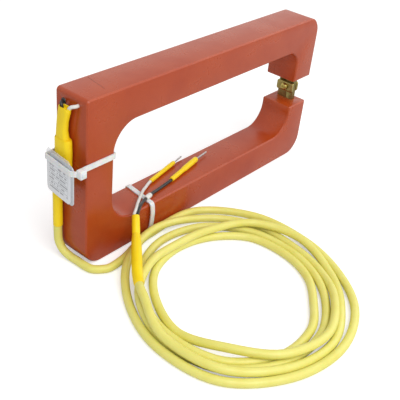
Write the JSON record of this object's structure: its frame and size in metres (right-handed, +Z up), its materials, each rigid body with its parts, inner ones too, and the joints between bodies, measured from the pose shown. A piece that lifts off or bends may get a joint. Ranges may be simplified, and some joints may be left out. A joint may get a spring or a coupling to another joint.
{
  "type": "current transformer",
  "caption": "Window current transformer: a cast-resin frame with a gapped arm closed by a screwed core bridge, and a coiled two-core cable tied to it.",
  "frame": {"origin": "middle of the base of the body with its bridge, label and ties, on the surface it stands on; the coiled cable is left out of this middle", "axes": "+X along the body's length, from the cable end towards the arm with the gap; +Y through the window, from the front, where the cable coil lies, to the back; +Z up"},
  "size_m": [0.314, 0.2288, 0.14],
  "materials": {
    "cast_resin": "satin",
    "core_steel": "satin",
    "copper_winding": "satin",
    "clamp_brass": "satin",
    "screw_zinc": "satin",
    "insulation_white": "gloss",
    "insulation_black": "gloss",
    "sleeve_yellow": "satin",
    "cable_jacket": "satin",
    "label_white": "satin",
    "label_backing": "satin",
    "tie_nylon": "satin",
    "tinned_wire": "satin"
  },
  "bodies": {
    "root": {"resin_body": "cast_resin", "core": "core_steel", "secondary_winding": "copper_winding", "clamp_plate_inner": "clamp_brass", "clamp_plate_outer": "clamp_brass", "clamp_screw": "screw_zinc", "clamp_nut": "screw_zinc", "lead_core_white": "insulation_white", "lead_core_dark": "insulation_black", "splice_sleeve": "sleeve_yellow", "wrap_sleeve": "sleeve_yellow", "cable_sleeve": "sleeve_yellow", "name_plate": "label_white", "plate_backing": "label_backing", "plate_tie": "tie_nylon", "coil_tie": "tie_nylon", "cable_lead": "cable_jacket", "cable_coil": "cable_jacket", "cable_tail": "cable_jacket", "tail_sleeve_lower": "sleeve_yellow", "tail_sleeve_upper": "sleeve_yellow", "tail_core_white": "insulation_white", "tail_core_black": "insulation_black", "marker_ring": "insulation_white", "core_sleeve_white": "sleeve_yellow", "core_sleeve_black": "sleeve_yellow", "tinned_end_white": "tinned_wire", "tinned_end_black": "tinned_wire"}
  },
  "joints": []
}
